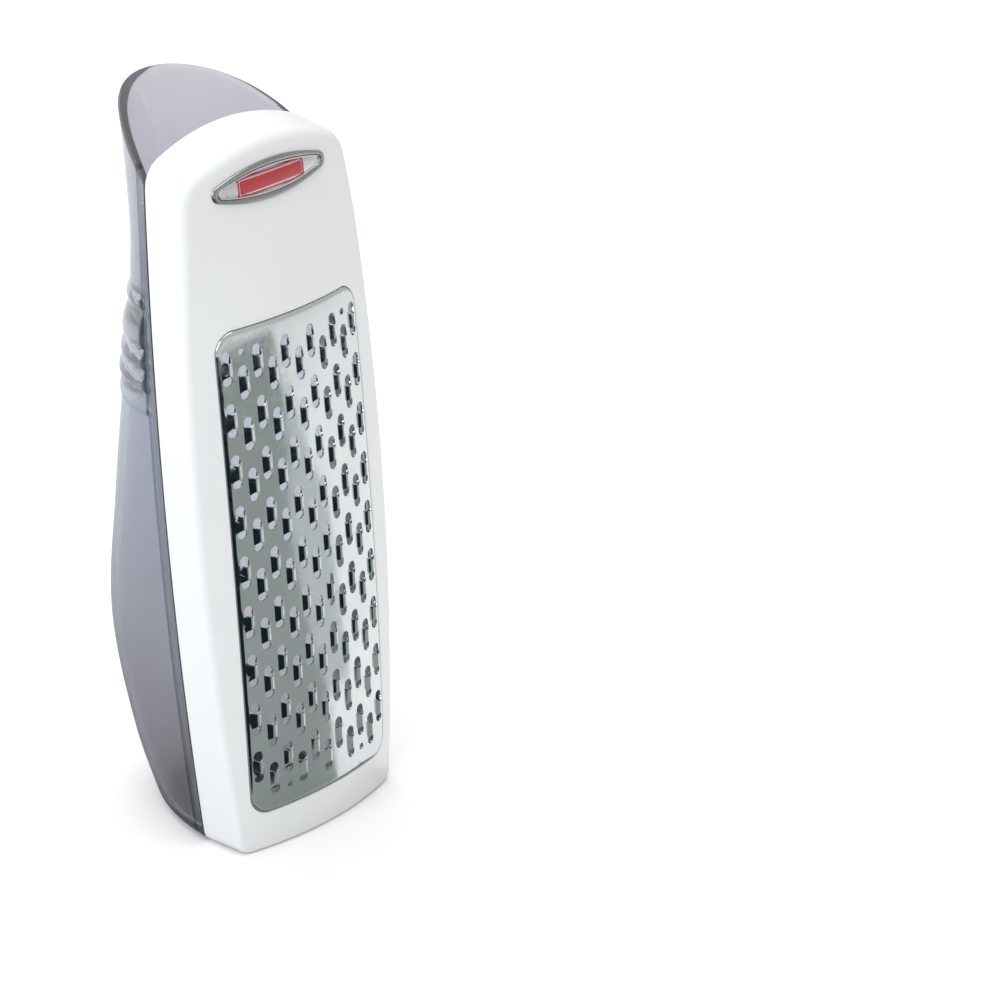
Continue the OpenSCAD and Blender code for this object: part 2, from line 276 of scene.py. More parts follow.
def quarter(count):
    """Steps round a quarter circle, as (sine, cosine) pairs from 0 to 90 degrees."""
    turns = np.linspace(0, math.pi / 2, count)
    return list(zip(np.sin(turns), np.cos(turns)))


# ---------------------------------------------------------------- housing
FRONT_TOP_Y = float(world_y(np.array(0.0), np.array(BODY_H), face_depth))
SIDE_CREASE_R = 1.4
TOP_CREASE_R = 2.5
CREASE_LOW = 150.0
CREASE_SPAN = 45.0
WINDOW_GAP = 0.15
WINDOW_EDGE_R = 0.4
WINDOW_RING = 0.6
SEAM_LIP_R = 0.45
SEAM_STEP = 0.14
BACK_STEP = 2.2
INNER_CREASE_R = 0.8
SKIRT_OUT = 4.6
SKIRT_IN = 6.2
SKIRT_LEN = 5.0
SKIRT_TOP = 184.0


def height_at(apex_y):
    """Height of the sloping top's middle at a depth."""
    return BODY_H + (apex_y - FRONT_TOP_Y) * math.tan(TOP_SLOPE)


def wall_loop(inset, surface, back=0.0, radial=0.0):
    """The outline at an inset, set on a surface and moved back."""
    top_y = float(world_y(np.array(0.0), np.array(BODY_H), surface, radial)) + back
    loop = outline(height_at(top_y), inset)
    y = world_y(loop[:, 0], loop[:, 1], surface, radial) + back
    return np.stack([loop[:, 0], y, loop[:, 1]], -1)


def between(first, second, share):
    """The points a share of the way from one set to another."""
    return first * (1 - share) + second * share


def crease_loop(s, c):
    """The rounded front edge at a sine and cosine: a tight round that widens towards the top."""
    tight = wall_loop(SIDE_CREASE_R * (1 - s), face_depth, SIDE_CREASE_R * (1 - c))
    wide = wall_loop(TOP_CREASE_R * (1 - s), face_depth, TOP_CREASE_R * (1 - c))
    return between(tight, wide, smooth((tight[:, 2:] - CREASE_LOW) / CREASE_SPAN))


def face_rings(rim, grow, shares, radial):
    """Loops on the curved face from a rim to the window's grown outline."""
    _, rim_z = on_surface(rim[:, 0], rim[:, 2], face_depth, radial)
    a = np.stack([rim[:, 0], rim_z], -1)
    b = plate_loop(grow)
    rings = []
    for share in shares:
        flat = between(a, b, share)
        rings.append(to_world(flat[:, 0], face_depth(flat[:, 0], flat[:, 1], radial), flat[:, 1]))
    return rings


def window_loop(grow, depth):
    """The window's outline, grown, at a depth behind the face."""
    flat = plate_loop(grow)
    return to_world(flat[:, 0], face_depth(flat[:, 0], flat[:, 1]) + depth, flat[:, 1])


def housing_loops():
    """Loops from the window's inner edge, out over the face, round the back and inside again."""
    loops = [window_loop(WINDOW_GAP, WALL), window_loop(WINDOW_GAP, 0.5)]
    loops += [window_loop(WINDOW_GAP + WINDOW_EDGE_R * (1 - c), WINDOW_EDGE_R * (1 - s))
              for s, c in quarter(4)]
    shares = [0.97, 0.92, 0.84, 0.75, 0.66, 0.57, 0.48, 0.39, 0.3, 0.22, 0.14, 0.07, 0.025]
    loops += face_rings(crease_loop(0.0, 1.0), WINDOW_RING, shares, 0.0)
    loops += [crease_loop(s, c) for s, c in quarter(8)]
    front = loops[-1]
    back = wall_loop(0.0, seam_depth, -SEAM_LIP_R)
    loops += [between(front, back, q) for q in (0.12, 0.35, 0.65, 0.9)]
    loops += [wall_loop(SEAM_LIP_R * (1 - c), seam_depth, -SEAM_LIP_R * (1 - s))
              for s, c in quarter(4)]
    # the flange that meets the container and carries the skirt, then the wall's inside, each
    # as an inset from the outline and a distance ahead of the seam
    behind = [(2.2, 0.0), (2.35, SEAM_STEP), (SKIRT_IN - 0.2, SEAM_STEP),
              (SKIRT_IN, SEAM_STEP + 0.2), (SKIRT_IN, BACK_STEP - 0.2), (SKIRT_IN - 0.2, BACK_STEP),
              (WALL + 0.3, BACK_STEP), (WALL, BACK_STEP + 0.3)]
    loops += [wall_loop(inset, seam_depth, -ahead) for inset, ahead in behind]
    inner_front = wall_loop(WALL, face_depth, INNER_CREASE_R, WALL)
    loops += [between(loops[-1], inner_front, q) for q in (0.3, 0.7, 1.0)]
    loops += [wall_loop(WALL + INNER_CREASE_R * (1 - c), face_depth, INNER_CREASE_R * (1 - s), WALL)
              for s, c in quarter(4)[1:]]
    inner_rim = wall_loop(WALL + INNER_CREASE_R, face_depth, 0.0, WALL)
    loops += face_rings(inner_rim, WINDOW_GAP, (0.05, 0.2, 0.4, 0.6, 0.8, 0.95), WALL)
    return loops


def skirt_mesh():
    """The skirt behind the seam: a bar with rounded edges, open under the spout."""
    root, near, far = -1.0, 0.15, 0.5
    profile = [(SKIRT_OUT, root), (SKIRT_OUT, SKIRT_LEN - far), (SKIRT_OUT + near, SKIRT_LEN - near),
               (SKIRT_OUT + far, SKIRT_LEN), (SKIRT_IN - far, SKIRT_LEN),
               (SKIRT_IN - near, SKIRT_LEN - near), (SKIRT_IN, SKIRT_LEN - far), (SKIRT_IN, root)]
    loops = [wall_loop(inset, seam_depth, back) for inset, back in profile]
    low = loops[0][:, 2] < SKIRT_TOP
    n = len(low)
    start = next(i for i in range(n) if low[i] and not low[i - 1])
    count = int(low.sum())
    keep = [(start + i) % n for i in range(count)]
    columns = np.array([[loops[j][i] for j in range(len(profile))] for i in keep])
    rows = [list(range(k * len(profile), (k + 1) * len(profile))) for k in range(count)]
    faces = []
    for k in range(count - 1):
        faces += strip(rows[k], rows[k + 1])
    faces += [tuple(reversed(rows[0])), tuple(rows[-1])]
    return columns.reshape(-1, 3), faces


STUDS = [(32.0, -22.0), (32.0, 28.0), (22.0, 74.5), (17.0, -77.4)]
STUD_SIDES = 24
STUD_PROFILE = [(0.7, 1.45), (1.3, 1.3), (1.9, 1.05), (2.3, 0.75), (2.5, 0.4), (2.4, 0.1),
                (1.5, 0.0), (1.5, -2.6)]
STUD_TIP = 1.5
RETAINER_BACK = 5.7


def one_stud(x, z):
    """The melted head of one stud and the shank under it."""
    depth = face_depth(np.array(x), np.array(z)) + RETAINER_BACK
    turns = 2 * math.pi * np.arange(STUD_SIDES) / STUD_SIDES
    loops = [to_world(x + radius * np.cos(turns), depth + rise, z + radius * np.sin(turns))
             for radius, rise in STUD_PROFILE]
    points, faces = loops_mesh(loops)
    tip = to_world(np.array(x), depth + STUD_TIP, np.array(z))
    points, cap = fan(points, list(range(STUD_SIDES)), tip)
    end = len(points) - 1
    faces += [tuple(reversed(face)) for face in cap]
    faces.append(tuple(range(end - STUD_SIDES, end)))
    return points, faces


def stud_mesh():
    """The studs that hold the retainer, seen from inside."""
    return join_parts([one_stud(side * x, z) for x, z in STUDS for side in (-1, 1)])


def join_parts(parts):
    """Several points-and-faces pairs as one."""
    points, faces, start = [], [], 0
    for some_points, some_faces in parts:
        points.append(some_points)
        faces += [tuple(i + start for i in face) for face in some_faces]
        start += len(some_points)
    return np.concatenate(points), faces


# ---------------------------------------------------------------- grating plate
def tooth_centres():
    """The middle of every tooth as x and z, in columns that are staggered by turns."""
    for column in range(COLUMNS):
        for row in range(ROWS):
            yield ((column - (COLUMNS - 1) / 2) * COLUMN_PITCH,
                   (row - (ROWS - 1) / 2) * ROW_PITCH - (column % 2) * STAGGER)


def bridge_rise(dx, dz):
    """How far the sheet is pushed out at a place beside a tooth's middle."""
    across = np.clip(1 - (dx / BRIDGE_HALF) ** 2, 0, 1) ** 1.1
    end = np.clip((np.abs(dz) - BRIDGE_FLAT) / BRIDGE_RAMP, 0, 1)
    return BRIDGE_H * across * (0.5 + 0.5 * np.cos(math.pi * end))


def sheet_holes():
    """Every hole of the sheet as x, z, radius and number of sides."""
    holes = []
    for x, z in tooth_centres():
        holes += [(x, z + HOLE_GAP / 2, HOLE_R, HOLE_SIDES),
                  (x, z - HOLE_GAP / 2, HOLE_R, HOLE_SIDES)]
    for side in (-1, 1):
        holes += [(side * x, z, TOOLING_R, TOOLING_SIDES) for x, z in TOOLING_HOLES]
    return holes


def clearance(spots, holes):
    """How far each spot lies outside the nearest hole."""
    holes = np.array(holes)
    gap = np.hypot(spots[:, None, 0] - holes[None, :, 0], spots[:, None, 1] - holes[None, :, 1])
    return (gap - holes[None, :, 2]).min(axis=1)


RIM_KEEP = 2.2
CORNER_KEEP = 3.6


def inside_sheet(spots):
    """Which spots are well inside the sheet's rolled edge."""
    x = np.abs(spots[:, 0])
    z = np.abs(spots[:, 1] - PLATE_MID_Z)
    inside = (x < plate_half_width(spots[:, 1], -RIM_KEEP)) & (z < PLATE_H / 2 - RIM_KEEP)
    corner_x = x - (PLATE_W / 2 - PLATE_CORNER_R)
    corner_z = z - (PLATE_H / 2 - PLATE_CORNER_R)
    in_corner = (corner_x > 0) & (corner_z > 0)
    return inside & ~(in_corner & (np.hypot(corner_x, corner_z) > CORNER_KEEP))


TOOTH_STEPS = [0.2, 0.4, 0.6, 0.8, 1.0, 1.2, 1.38, 1.52, 1.62, 1.8, 2.1]
TOOTH_ROWS = np.arange(-3.0, 3.01, 0.4)
SHEET_COLUMNS = np.arange(-27.2, 27.3, 1.36)
SHEET_ROWS = np.arange(-72.4, 67.6, 1.4)
TOOTH_HALF_W = 2.4
TOOTH_HALF_H = 3.2
EDGE_RINGS = (1.3, 1.7)
FINE_KEEP = 0.16
COARSE_KEEP = 0.3
RING_KEEP = 0.1


def loose_points(holes):
    """Points that fill the sheet: close together on the teeth, wider between, and two rings."""
    centres = np.array(list(tooth_centres()))
    across = [-step for step in reversed(TOOTH_STEPS)] + [0] + TOOTH_STEPS
    fine = np.array([(x + dx, z + dz) for x, z in centres for dx in across for dz in TOOTH_ROWS])
    fine = fine[inside_sheet(fine)]
    fine = fine[clearance(fine, holes) > FINE_KEEP]
    coarse = np.array([(x, z) for x in SHEET_COLUMNS for z in SHEET_ROWS])
    coarse = coarse[inside_sheet(coarse)]
    coarse = coarse[clearance(coarse, holes) > COARSE_KEEP]
    near = np.abs(coarse[:, None, 0] - centres[None, :, 0]) < TOOTH_HALF_W
    near &= np.abs(coarse[:, None, 1] - centres[None, :, 1]) < TOOTH_HALF_H
    rings = np.concatenate([plate_loop(-inset)[::2] for inset in EDGE_RINGS])
    rings = rings[clearance(rings, holes) > RING_KEEP]
    return np.concatenate([fine, coarse[~near.any(axis=1)], rings])


ROLL_R = 1.0
SAME_POINT = 1e-5
HOLE_SLACK = 0.02


def plate_sheet():
    """The flat layout of the sheet: points, triangles, outer loop and the loops of the holes."""
    holes = sheet_holes()
    rounds = [arc((x, z), r, 0, 2 * math.pi, sides) for x, z, r, sides in holes]
    points, edges, loops = [], [], []
    for loop in [plate_loop(-ROLL_R)] + rounds:
        first = len(points)
        n = len(loop)
        points += list(loop)
        edges += [(first + k, first + (k + 1) % n) for k in range(n)]
        loops.append(range(first, first + n))
    points += list(loose_points(holes))
    result = delaunay_2d_cdt([Vector(p) for p in points], edges, [], 0, SAME_POINT)
    flat = np.array([tuple(v) for v in result[0]])
    where = {source: out for out, sources in enumerate(result[3]) for source in sources}
    triangles = np.array([face for face in result[2] if len(face) == 3])
    triangles = triangles[clearance(flat[triangles].mean(axis=1), holes) > -HOLE_SLACK]
    loops = [[where[i] for i in loop] for loop in loops]
    return flat, triangles, loops[0], loops[1:]


def sheet_back(front, triangles):
    """The sheet's other side, one thickness behind the front along its normals."""
    corners = front[triangles]
    normal = np.cross(corners[:, 1] - corners[:, 0], corners[:, 2] - corners[:, 0])
    vertex_normal = np.zeros_like(front)
    for k in range(3):
        np.add.at(vertex_normal, triangles[:, k], normal)
    vertex_normal /= np.linalg.norm(vertex_normal, axis=1, keepdims=True) + 1e-12
    vertex_normal *= -np.sign(vertex_normal[:, 1:2])
    return front - PLATE_T * vertex_normal


PAN_DEPTH = 2.6
FLANGE_OUT = 1.3
FLANGE_BACK = PAN_DEPTH + PLATE_T
INNER_ROLL_R = ROLL_R - PLATE_T


def pan_profile():
    """The rolled edge, turned-in wall and clamping flange, as inset and depth behind the face."""
    outer = [(ROLL_R * (1 - s), ROLL_R * (1 - c) - PLATE_PROUD) for s, c in quarter(6)[1:]]
    wall = [(0.0, 1.8), (0.0, PAN_DEPTH), (-FLANGE_OUT, PAN_DEPTH), (-FLANGE_OUT, FLANGE_BACK),
            (PLATE_T, FLANGE_BACK), (PLATE_T, 1.2)]
    inner = [(PLATE_T + INNER_ROLL_R * (1 - c), PLATE_T - PLATE_PROUD + INNER_ROLL_R * (1 - s))
             for s, c in quarter(4)[1:-1]]
    return outer + wall + inner


def plate_mesh():
    """The stamped plate: a pierced sheet with raised teeth in a rolled pan."""
    flat, triangles, rim, holes = plate_sheet()
    rise = np.zeros(len(flat))
    for x, z in tooth_centres():
        on_tooth = np.abs(flat[:, 1] - z) < TOOTH_HALF_H
        rise = np.maximum(rise, bridge_rise(flat[:, 0] - x, flat[:, 1] - z) * on_tooth)
    depth = face_depth(flat[:, 0], flat[:, 1]) - PLATE_PROUD - rise
    front = np.stack([flat[:, 0], depth, flat[:, 1]], -1)
    count = len(front)
    points = [front, sheet_back(front, triangles)]
    faces = [tuple(t) for t in triangles] + [tuple(t[::-1] + count) for t in triangles]
    for hole in holes:
        faces += strip(hole, [i + count for i in hole])
    rows = [rim]
    start = 2 * count
    for inset, drop in pan_profile():
        loop = plate_loop(-inset)
        depth = face_depth(loop[:, 0], loop[:, 1]) + drop
        points.append(np.stack([loop[:, 0], depth, loop[:, 1]], -1))
        rows.append(list(range(start, start + len(loop))))
        start += len(loop)
    rows.append([i + count for i in rim])
    for first, second in zip(rows, rows[1:]):
        faces += strip(second, first)
    local = np.concatenate(points)
    return to_world(local[:, 0], local[:, 1], local[:, 2]), faces


# ---------------------------------------------------------------- badge
BADGE_Z = 104.3
BADGE_W = 44.0
BADGE_H = 10.8
OVAL_END = 0.42
OVAL_QUARTER = 30
OVAL_END_STEPS = 10
BEZEL_THINNER = 0.83
INSERT_W = 39.8
INSERT_H = 7.3
LIP_W = 0.85
DOME_FOOT = 0.15
DOME_H = 0.5
PANEL_W = 25.6
PANEL_H = 5.3
PANEL_CORNER_R = 0.9
LINE_W = 0.42
BAR_INSET = 0.85
BAR_CORNER_R = 1.3
LEAST_BAR_R = 0.2


def oval(w, h):
    """A loop of four arcs about the badge's place, as x and z in the face's frame."""
    a, b = w / 2, h / 2
    end_r = b * OVAL_END
    flat_r = ((a - end_r) ** 2 + b * b - end_r ** 2) / (2 * (b - end_r))
    meet = math.atan2(a - end_r, flat_r - b)
    end = arc((a - end_r, 0), end_r, 0, math.pi / 2 - meet, OVAL_END_STEPS)
    flat = arc((0, b - flat_r), flat_r, math.pi / 2 - meet, math.pi / 2,
               OVAL_QUARTER - OVAL_END_STEPS)
    right_top = np.concatenate([end, flat])
    top = np.array([[0.0, b]])
    left_top = right_top[::-1] * np.array([-1.0, 1.0])
    upper = np.concatenate([right_top, top, left_top])
    lower = upper[-2:0:-1] * np.array([1.0, -1.0])
    loop = np.concatenate([upper, lower])
    loop[:, 1] += BADGE_Z
    return loop


def raised(flat, rise):
    """A flat loop or point set on the face, standing out from it."""
    return to_world(flat[:, 0], face_depth(flat[:, 0], flat[:, 1]) - rise, flat[:, 1])


def bezel_mesh():
    """The dark rim, as loops of (distance in from its edge, rise off the face)."""
    profile = [(0.0, -0.3), (0.0, 0.18), (0.1, 0.38), (0.35, 0.6), (0.7, 0.72), (1.1, 0.75),
               (1.5, 0.69), (1.8, 0.55), (2.0, 0.35), (2.05, 0.2), (2.05, -0.3)]
    loops = [raised(oval(BADGE_W - 2 * t, BADGE_H - 2 * t * BEZEL_THINNER), rise)
             for t, rise in profile]
    return loops_mesh(loops, close=True)


def dome(x, z):
    """Rise of the insert's crowned face."""
    share = (x / (INSERT_W / 2)) ** 2 + ((z - BADGE_Z) / (INSERT_H / 2)) ** 2
    return DOME_FOOT + DOME_H * np.clip(1 - share, 0, 1) ** 0.8


def insert_mesh():
    """The bright insert: a thin lip round a crowned face."""
    lip = [(0.0, -0.3), (0.0, 0.38), (0.08, 0.47), (0.25, 0.52), (0.42, 0.47), (0.55, 0.34),
           (0.68, 0.22), (LIP_W, 0.17)]
    loops = [raised(oval(INSERT_W - 2 * t, INSERT_H - 2 * t), rise) for t, rise in lip]
    for share in (0.93, 0.85, 0.75, 0.62, 0.47, 0.3, 0.14):
        flat = oval((INSERT_W - 2 * LIP_W) * share, (INSERT_H - 2 * LIP_W) * share)
        loops.append(raised(flat, dome(flat[:, 0], flat[:, 1])))
    points, faces = loops_mesh(loops)
    n = len(loops[0])
    middle = raised(np.array([[0.0, BADGE_Z]]), dome(np.array([0.0]), np.array([BADGE_Z])))[0]
    points, cap = fan(points, list(range(len(points) - n, len(points))), middle)
    faces += cap
    faces.append(tuple(reversed(range(n))))
    return points, faces


def rounded_box_loop(w, h, r):
    """A loop round a rectangle with round corners, about the badge's place."""
    across, up = w / 2 - r, h / 2 - r
    corners = [(across, up), (-across, up), (-across, -up), (across, -up)]
    arcs = [arc(corner, r, math.pi / 2 * k, math.pi / 2 * (k + 1), 7, last=True)
            for k, corner in enumerate(corners)]
    shares = np.linspace(0, 1, 15)[1:-1, None]
    loop = []
    for first, second in zip(arcs, arcs[1:] + arcs[:1]):
        loop += [first, between(first[-1], second[0], shares)]
    loop = np.concatenate(loop)
    loop[:, 1] += BADGE_Z
    return loop


def on_dome(flat, rise):
    """A flat loop on the insert's crowned face, standing out from it."""
    return raised(flat, dome(flat[:, 0], flat[:, 1]) + rise)


def panel_mesh():
    """The red inlay: a thin frame line round a plain crowned bar."""
    frame_line = [(0.0, -0.1), (0.0, 0.1), (0.07, 0.15), (LINE_W - 0.07, 0.15), (LINE_W, 0.1),
                  (LINE_W, -0.1)]
    loops = [on_dome(rounded_box_loop(PANEL_W - 2 * t, PANEL_H - 2 * t, PANEL_CORNER_R - t), rise)
             for t, rise in frame_line]
    line = loops_mesh(loops, close=True)
    bar = [(0.0, -0.1), (0.0, 0.12), (0.06, 0.18), (0.18, 0.22), (0.5, 0.24), (1.0, 0.25)]
    loops = []
    for t, rise in bar:
        t += BAR_INSET
        flat = rounded_box_loop(PANEL_W - 2 * t, PANEL_H - 2 * t,
                               max(BAR_CORNER_R - t, LEAST_BAR_R))
        loops.append(on_dome(flat, rise))
    # the middle closes along a line, so the long ends stay crowned
    last = flat
    for share, narrow in ((0.6, 0.99), (0.25, 0.975), (0.0, 0.96)):
        flat = np.stack([last[:, 0] * narrow, BADGE_Z + (last[:, 1] - BADGE_Z) * share], -1)
        loops.append(on_dome(flat, bar[-1][1]))
    points, faces = loops_mesh(loops)
    faces.append(tuple(reversed(range(len(loops[0])))))
    return join_parts([line, (points, faces)])


# ---------------------------------------------------------------- container
BACK_LINE = [(0, 19.5), (20, 29.6), (54, 36.85), (92, 31.6), (126, 25.6), (150, 20.9),
             (172, 19.3), (190, 21.9), (212, 27.2)]
SHELL_T = 2.4
SEAM_GAP = 0.2
SECTION_CENTRE = 8.0
BASE_R = 4.0
SPOUT_H = 209.3
SPOUT_R = 84.0
SPOUT_LOW = 190.5
RING_DEPTH = 1.5
RING_GROOVES = (127.2, 133.6, 139.7, 145.4, 154.6, 156.2, 160.2)
RING_CRESTS = (0.5, 1.0, 1.0, 1.05, 0.0, 0.5)
RING_SKEW = 0.62
RING_FULLNESS = 0.75
RING_START = 1.5
RING_FADE = 2.4
RIM_R = 0.6
FLOOR_R = 3.0
WALL_COLUMNS = 121
END_CROWDING = 0.55


def back_at(z):
    """Depth of the container's back, a smooth curve through its points."""
    heights = np.array([p[0] for p in BACK_LINE], float)
    depths = np.array([p[1] for p in BACK_LINE], float)
    n = len(heights)
    low = np.maximum(np.arange(n) - 1, 0)
    high = np.minimum(np.arange(n) + 1, n - 1)
    slope = (depths[high] - depths[low]) / (heights[high] - heights[low])
    i = np.clip(np.searchsorted(heights, z) - 1, 0, n - 2)
    h = heights[i + 1] - heights[i]
    t = (z - heights[i]) / h
    return ((2 * t ** 3 - 3 * t ** 2 + 1) * depths[i] + (t ** 3 - 2 * t ** 2 + t) * h * slope[i]
            + (3 * t ** 2 - 2 * t ** 3) * depths[i + 1] + (t ** 3 - t ** 2) * h * slope[i + 1])


def seam_y(z):
    """The seam's y at a height above ground."""
    return world_y(0 * z, z, seam_depth)


def half_width(z):
    """Half the width of the whole object at a height, between its bowed sides."""
    return SIDE_X + np.sqrt(SIDE_R ** 2 - (z - BELLY_Z) ** 2)


def ring_rise(s):
    """Height of the grip rings at a height along the seam: 0 in a groove, 1 on a crest."""
    rise = np.zeros_like(s)
    for low, high, crest in zip(RING_GROOVES, RING_GROOVES[1:], RING_CRESTS):
        t = np.clip((s - low) / (high - low), 0, 1)
        arch = np.sin(math.pi * t ** RING_SKEW) ** RING_FULLNESS
        rise = np.maximum(rise, crest * arch * ((t > 0) & (t < 1)))
    return rise


def wall_point(z, turn, inset, rings):
    """A point of the container's wall at a height and a share of the way round (0 to 1)."""
    seam = seam_y(z) + SEAM_GAP
    b = back_at(z) - seam + SECTION_CENTRE
    a = half_width(z) / np.sqrt(1 - (SECTION_CENTRE / b) ** 2)
    below = np.clip(BASE_R - z, 0, BASE_R)
    base_round = BASE_R - np.sqrt(BASE_R ** 2 - below ** 2)
    ai, bi = a - inset - base_round, b - inset - base_round
    start = np.arcsin(SECTION_CENTRE / bi)
    angle = start + (math.pi - 2 * start) * turn
    y = bi * np.sin(angle) - SECTION_CENTRE
    rise = RING_DEPTH * ring_rise(z + math.tan(LEAN) * y) * smooth((y - RING_START) / RING_FADE)
    grow = 1 + rings * rise / bi
    return np.stack([ai * np.cos(angle) * grow,
                     seam + bi * np.sin(angle) * grow - SECTION_CENTRE, z + 0 * turn], -1)


def rim_height(turn, inset):
    """Height of the spout's cut edge, a round line seen from the side."""
    y0 = float(seam_y(np.array(SPOUT_LOW)))
    y1 = float(back_at(np.array(SPOUT_H)))
    chord = np.array([y1 - y0, SPOUT_H - SPOUT_LOW])
    length = np.linalg.norm(chord)
    middle = np.array([y0, SPOUT_LOW]) + chord / 2
    middle += math.sqrt(SPOUT_R ** 2 - (length / 2) ** 2) * np.array([chord[1], -chord[0]]) / length
    z = np.full_like(turn, (SPOUT_LOW + SPOUT_H) / 2)
    for _ in range(SOLVE_STEPS):
        y = wall_point(z, turn, inset, 0)[..., 1]
        z = middle[1] + np.sqrt(np.clip(SPOUT_R ** 2 - (y - middle[0]) ** 2, 0, None))
    return z


def outer_wall(turns):
    """Rows up the outside, from the base to the crest of the rim."""
    base = [BASE_R * (1 - math.cos(math.radians(angle))) for angle in range(0, 90, 10)]
    body, grip, neck = np.arange(BASE_R, 121, 3.0), np.arange(121.5, 163, 0.42), np.arange(164, 184, 3.0)
    heights = np.concatenate([base, body, grip, neck])
    rows = [wall_point(np.full(len(turns), z), turns, 0.0, 1.0) for z in heights]
    low, high = heights[-1], rim_height(turns, 0.0) - RIM_R
    for share in (0.25, 0.5, 0.75, 0.9, 1.0):
        rows.append(wall_point(low + (high - low) * share, turns, 0.0, 0.0))
    for s, c in quarter(5)[1:]:
        inset = RIM_R * (1 - c)
        rows.append(wall_point(rim_height(turns, inset) - RIM_R * (1 - s), turns, inset, 0.0))
    return rows


def inner_wall(turns):
    """Rows down the inside, from the crest of the rim to the floor."""
    rows = []
    for s, c in quarter(5):
        inset = SHELL_T - RIM_R * (1 - s)
        rows.append(wall_point(rim_height(turns, inset) - RIM_R * (1 - c), turns, inset, 0.0))
    high, low = rim_height(turns, SHELL_T) - RIM_R, SHELL_T + FLOOR_R
    for share in np.linspace(0, 1, 60)[1:]:
        rows.append(wall_point(between(high, low, share), turns, SHELL_T, 0.0))
    for s, c in quarter(6)[1:]:
        z = np.full(len(turns), SHELL_T + FLOOR_R * (1 - s))
        rows.append(wall_point(z, turns, SHELL_T + FLOOR_R * (1 - c), 0.0))
    return rows


def flat_cap(row):
    """Faces across a level row of points, each joining the two sides."""
    n = len(row)
    half = n // 2
    faces = [(row[k], row[k + 1], row[n - 2 - k], row[n - 1 - k]) for k in range(half - 1)]
    faces.append((row[half - 1], row[half], row[half + 1]))
    return faces


def container_mesh():
    """The container: an open shell with a floor, grip rings and a spout cut on a round line."""
    even = np.linspace(0, 1, WALL_COLUMNS)
    crowded = 0.5 - 0.5 * np.cos(math.pi * even)
    turns = between(even, crowded, END_CROWDING)
    outside = outer_wall(turns)
    rows = outside + inner_wall(turns)
    n = len(turns)
    points = np.concatenate(rows)
    index = [list(range(k * n, (k + 1) * n)) for k in range(len(rows))]
    faces = []
    for first, second in zip(index, index[1:]):
        faces += strip(first, second, closed=False)
    base, floor = index[0], index[-1]
    faces += flat_cap(base) + flat_cap(floor)
    # the flat edges that meet the housing, on each side and across the floor
    for k, flip in ((0, False), (n - 1, True)):
        rising = [row[k] for row in index[:len(outside)]]
        falling = [row[k] for row in index[len(outside):]]
        faces += column_bridge(points, rising, falling[::-1], flip)
    faces.append((base[0], floor[0], floor[n - 1], base[n - 1]))
    return points, faces


def column_bridge(points, a, b, flip):
    """Triangles and quads between two columns that both rise from the floor to the rim."""
    faces = []
    i = j = 0
    while i < len(a) - 1 or j < len(b) - 1:
        step_a = j == len(b) - 1 or (i < len(a) - 1
                                     and points[a[i + 1]][2] <= points[b[j + 1]][2])
        if step_a:
            face = (a[i], a[i + 1], b[j])
            i += 1
        else:
            face = (a[i], b[j + 1], b[j])
            j += 1
        faces.append(tuple(reversed(face)) if flip else face)
    return faces


# ---------------------------------------------------------------- materials
def new_material(name):
    """A node material with nothing in it but a principled shader and its output."""
    material = bpy.data.materials.new(name)
    material.use_nodes = True
    nodes = material.node_tree.nodes
    nodes.clear()
    output = nodes.new("ShaderNodeOutputMaterial")
    shader = nodes.new("ShaderNodeBsdfPrincipled")
    material.node_tree.links.new(shader.outputs["BSDF"], output.inputs["Surface"])
    return material, shader


def place(material, stretch=(1, 1, 1)):
    """The point on the object at rest, stretched, as a socket."""
    nodes, links = material.node_tree.nodes, material.node_tree.links
    coordinates = nodes.new("ShaderNodeTexCoord")
    mapping = nodes.new("ShaderNodeMapping")
    mapping.inputs["Scale"].default_value = stretch
    links.new(coordinates.outputs["Object"], mapping.inputs["Vector"])
    return mapping.outputs["Vector"]


def noise(material, where, scale, detail=3.0):
    """Cloudy grey from 0 to 1, with this many features to the metre."""
    node = material.node_tree.nodes.new("ShaderNodeTexNoise")
    node.inputs["Scale"].default_value = scale
    node.inputs["Detail"].default_value = detail
    material.node_tree.links.new(where, node.inputs["Vector"])
    return node.outputs["Fac"]


def ramp(material, value, stops):
    """A colour ramp with stops of (place, colour or grey)."""
    node = material.node_tree.nodes.new("ShaderNodeValToRGB")
    elements = node.color_ramp.elements
    while len(elements) < len(stops):
        elements.new(0.5)
    for element, (position, colour) in zip(elements, stops):
        element.position = position
        element.color = (*colour, 1) if isinstance(colour, tuple) else (colour, colour, colour, 1)
    material.node_tree.links.new(value, node.inputs["Fac"])
    return node.outputs["Color"]


def bump(material, height, strength, distance, below=None):
    """A normal bumped by a height, over another bumped normal if one is given."""
    node = material.node_tree.nodes.new("ShaderNodeBump")
    node.inputs["Strength"].default_value = strength
    node.inputs["Distance"].default_value = distance
    material.node_tree.links.new(height, node.inputs["Height"])
    if below is not None:
        material.node_tree.links.new(below, node.inputs["Normal"])
    return node.outputs["Normal"]


FINE_BUMP = 0.0001
PLASTIC_GRAIN = 1200.0
METAL_GRAIN = 1500.0


